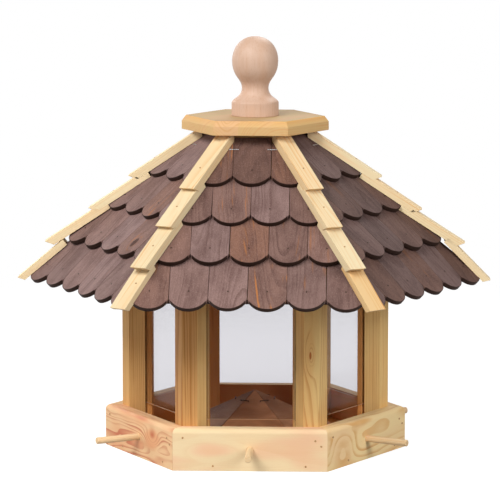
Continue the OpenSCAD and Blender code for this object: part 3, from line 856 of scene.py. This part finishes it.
rails = {
    "edge": 0.35 * mm, "seed": 61, "topFacing": 0.5,
    # each head reaches this much further under the rail above; the tails end sooner by their cuts, which
    # stand from the top rail down
    "headReach": 3.2 * mm, "tailCuts": (2.2 * mm, 4 * mm, 1 * mm, 0),
    # corner, rail from the top: lift is how far its head stands up and swing how far its tail swings to
    # the right, in degrees; then how far it lies to the left, off the roof and in towards the axis
    "askew": {
        ("right", 3): {"lift": -0.8, "off": 2.2 * mm, "inward": 1.5 * mm},
        ("right", 4): {"lift": 6.5, "inward": 3.5 * mm},
        ("left", 3): {"lift": -0.2, "off": 1.4 * mm}, ("left", 4): {"lift": 1.0},
        ("front_left", 1): {"swing": 0.6}, ("front_left", 4): {"swing": -2, "left": 2.5 * mm},
        ("front_right", 2): {"swing": -0.6, "left": 0.5 * mm},
        ("front_right", 4): {"lift": 2.5, "swing": 4, "left": -1.5 * mm},
    },
    "ranges": {"tone": (0.91, 0.97), "bold": (0.4, 0.85), "warm": (0, 0.25), "pithY": (-0.03, 0.03),
               "pithZ": (-0.02, -0.05), "tilt": (-0.05, 0.05), "offset": (0, 9), "spread": 1.6},
    # painted light: the rails at the left and right corners are made lighter
    "tones": {"left": 1.2, "right": 1.1},
    "standouts": {
        ("front_right", 1): {"mood": (1.3, 0.4, 0.95), "spread": 2.6, "tilt": 0.0},
        ("front_left", 1): {"mood": (1.3, 0.3, 0.97), "spread": 1.6, "tilt": 0.0},
        ("front_right", 2): {"mood": (1.0, 0.2, 0.95), "spread": 2.0},
        ("front_right", 4): {"mood": (1.6, 1.0, 0.9), "spread": 2.6, "tilt": 0.0},
    },
}


def makeRails():
    dice = random.Random(rails["seed"])
    for corner in corners:
        node = "hip_rails_" + corner
        bm = sandedCopy(node, rails["edge"])
        out = toCorner(corner)
        left = out.cross(up)
        bars = sorted(looseSolids(bm), key=lambda solid: middle(solid).dot(out))
        for number, solid in enumerate(bars):
            tops = {face for vert in solid for face in vert.link_faces if face.normal.z > rails["topFacing"]}
            normal = max(tops, key=lambda face: face.calc_area()).normal.copy()
            along = (out - normal * out.dot(normal)).normalized()
            look = drawLook(dice, rails["ranges"])
            bold, warm, tone = look["mood"]
            look["mood"] = (bold, warm, tone * rails["tones"].get(corner, 1))
            look.update(rails["standouts"].get((corner, number + 1), {}))
            layTimber(bm, solid, (along, left, normal), look)
            tail = max(solid, key=lambda vert: vert.co.dot(out)).co.copy()
            head = min(solid, key=lambda vert: vert.co.dot(out)).co.copy()
            reach = rails["headReach"] + rails["tailCuts"][number - 1] if number > 0 else 0
            for vert in solid:
                upper = (vert.co - head).dot(along) < (tail - head).dot(along) / 2
                vert.co -= along * (reach if upper else rails["tailCuts"][number])
            askew = {"lift": 0, "swing": 0, "left": 0, "off": 0, "inward": 0}
            askew.update(rails["askew"].get((corner, number + 1), {}))
            lifting = Matrix.Rotation(math.radians(askew["lift"]), 4, -left)
            swinging = Matrix.Rotation(math.radians(askew["swing"]), 4, normal)
            shift = left * askew["left"] + normal * askew["off"] - out * askew["inward"]
            for vert in solid:
                place = swinging @ (vert.co - head) + head
                vert.co = lifting @ (place - tail) + tail + shift
        finished(bm, camel(node), node, ["railPine"])


cap = {
    "edge": 0.5 * mm, "grainTurn": 58,
    # the flat top is made darker, with fainter grain, and the chamfer is warm
    "topDepth": 0.1 * mm, "topBold": 0.5, "topTone": 0.74, "chamferDepth": 4 * mm, "chamferWarm": 0.8,
    "boards": {
        "cap_board": {"mood": (1.7, 0.25, 0.9), "pith": (0, -0.02), "offset": 5.1,
                      "knot": (-0.081, -0.013, 1.4)},
        "cap_locating_block": {"mood": (0.6, 0.5, 0.92), "pith": (0.01, -0.03), "offset": 7.7},
    },
}


def darkenTopWarmChamfer(bm):
    top = max(vert.co.z for vert in bm.verts)
    flat = {vert for vert in bm.verts if top - vert.co.z < cap["topDepth"]}
    chamfer = {vert for vert in bm.verts if top - vert.co.z < cap["chamferDepth"]} - flat
    retone(bm, flat, 0, cap["topBold"], cap["topTone"])
    retone(bm, chamfer, cap["chamferWarm"])


def makeCap():
    turn = math.radians(cap["grainTurn"])
    along = Vector((math.cos(turn), math.sin(turn), 0))
    for node, look in cap["boards"].items():
        bm = sandedCopy(node, cap["edge"])
        layTimber(bm, looseSolids(bm)[0], (along, up.cross(along), up), look)
        if node == "cap_board":
            darkenTopWarmChamfer(bm)
        finished(bm, camel(node), node, ["gluedPine"])


knob = {
    "edge": 0.6 * mm, "segments": 3, "sharp": 60,
    "look": {"mood": (1, 1, 1), "pith": (0.03, 0.02), "offset": 0.4},
}


def makeKnob():
    bm = sandedCopy("knob", knob["edge"], knob["segments"], knob["sharp"])
    layTimber(bm, looseSolids(bm)[0], (up, right, up.cross(right)), knob["look"])
    finished(bm, "turnedKnob", "knob", ["beech"])


# by the ending of a node's name
headFinishes = {"shingle_pins": "pin", "spreader_staples": "pin", "nails": "nail", "pins": "nail"}


def dressSteel():
    for name, part in nodes.items():
        if slotOf(name) == "steel":
            finish = next((kind for ending, kind in headFinishes.items() if name.endswith(ending)), "steel")
            part.data.materials.clear()
            part.data.materials.append(finishes[finish])


stages = {
    "tray": makeTray, "perches": makePerches, "posts": makePosts, "panes": makePanes,
    "spreader": makeSpreader, "roof boards": makeRoofBoards, "shingles": makeShingles,
    "hip rails": makeRails, "cap": makeCap, "knob": makeKnob, "nails, pins and screws": dressSteel,
}
for stage, make in stages.items():
    make()
    print("made:", stage)

studio = {
    "floorRadius": 1.5, "floorSegments": 96, "floorFade": (0.75, 1.4), "floorTone": 0.35, "floorGlow": 0.84,
    "lampAway": 2.6, "lampSize": 1.0, "lampTarget": (0, 0, 0.25),
    # turn is measured from the front to the right and height up from level, both in degrees
    "lamps": {
        "keyLamp": {"turn": -28, "height": 40, "power": 40},
        "sideKeyLamp": {"turn": -60, "height": 42, "power": 20},
        "fillLamp": {"turn": 45, "height": 30, "power": 20},
        "rightLamp": {"turn": 55, "height": 14, "power": 18},
        "leftLamp": {"turn": -95, "height": 8, "power": 17},
        "frontLamp": {"turn": -15, "height": 8, "power": 8},
        "backLamp": {"turn": 165, "height": 42, "power": 22},
        "lowBackLamp": {"turn": 215, "height": 20, "power": 10},
    },
}


def showsBackdrop(finish):
    # 1 for the rays that show the white backdrop, 0 for those that light the feeder
    rays = finish.node("LightPath").socket.node.outputs
    seen = Wire(finish, rays["Is Camera Ray"])
    for kind in ("Is Glossy Ray", "Is Transmission Ray"):
        seen = finish.calc("MAXIMUM", seen, Wire(finish, rays[kind]))
    return seen


def makeFloor():
    bm = bmesh.new()
    bmesh.ops.create_circle(bm, cap_ends=True, segments=studio["floorSegments"], radius=studio["floorRadius"])
    mesh = bpy.data.meshes.new("floor")
    bm.to_mesh(mesh)
    bm.free()
    finish = Finish(bpy.data.materials.new("paleFloor"))
    x, y, z = finish.split(finish.node("TexCoord", out="Object"))
    away = finish.calc("SQRT", x * x + y * y)
    tone = studio["floorTone"]
    matt = finish.node("BsdfDiffuse", {}, {"Color": (tone, tone, tone, 1)})
    strength = showsBackdrop(finish) * studio["floorGlow"]
    glow = finish.node("Emission", {}, {"Color": (1, 1, 1, 1), "Strength": strength})
    lit = finish.node("AddShader", {}, {0: matt, 1: glow})
    clear = finish.node("BsdfTransparent")
    fade = finish.step(away, *studio["floorFade"])
    shader = finish.node("MixShader", {}, {0: fade, 1: lit, 2: clear})
    mesh.materials.append(finish.surface(shader))
    floor = bpy.data.objects.new("floor", mesh)
    bpy.context.scene.collection.objects.link(floor)


def makeSky():
    world = bpy.data.worlds.new("studioWhite")
    bpy.context.scene.world = world
    finish = Finish(world)
    values = {"Color": (1, 1, 1, 1), "Strength": showsBackdrop(finish)}
    finish.surface(finish.node("Background", {}, values), "OutputWorld")


def aim(thing, look, away, target):
    # sets a lamp or the camera down at a distance from its target, and turns it to face it
    turn, height = math.radians(look["turn"]), math.radians(look["height"])
    offset = Vector((math.sin(turn) * math.cos(height), -math.cos(turn) * math.cos(height), math.sin(height)))
    thing.location = Vector(target) + offset * away
    thing.rotation_euler = offset.to_track_quat("Z", "Y").to_euler()


def makeLamps():
    for name, look in studio["lamps"].items():
        lamp = bpy.data.lights.new(name, "AREA")
        lamp.shape = "SQUARE"
        lamp.size = studio["lampSize"]
        lamp.energy = look["power"]
        thing = bpy.data.objects.new(name, lamp)
        bpy.context.scene.collection.objects.link(thing)
        aim(thing, look, studio["lampAway"], studio["lampTarget"])


view = {
    "lens": 248.9, "sensor": 36, "turn": 2.29, "height": 7.96, "away": 4.173,
    "target": (-0.0062, -0.0003, 0.2399),
}


def makeCamera():
    lens = bpy.data.cameras.new("camera")
    lens.lens = view["lens"]
    lens.sensor_width = view["sensor"]
    camera = bpy.data.objects.new("camera", lens)
    bpy.context.scene.collection.objects.link(camera)
    aim(camera, view, view["away"], view["target"])
    bpy.context.scene.camera = camera


makeFloor()
makeSky()
makeLamps()
makeCamera()
bpy.context.scene.view_settings.view_transform = "Standard"
print("studio made")

bpy.context.view_layer.update()
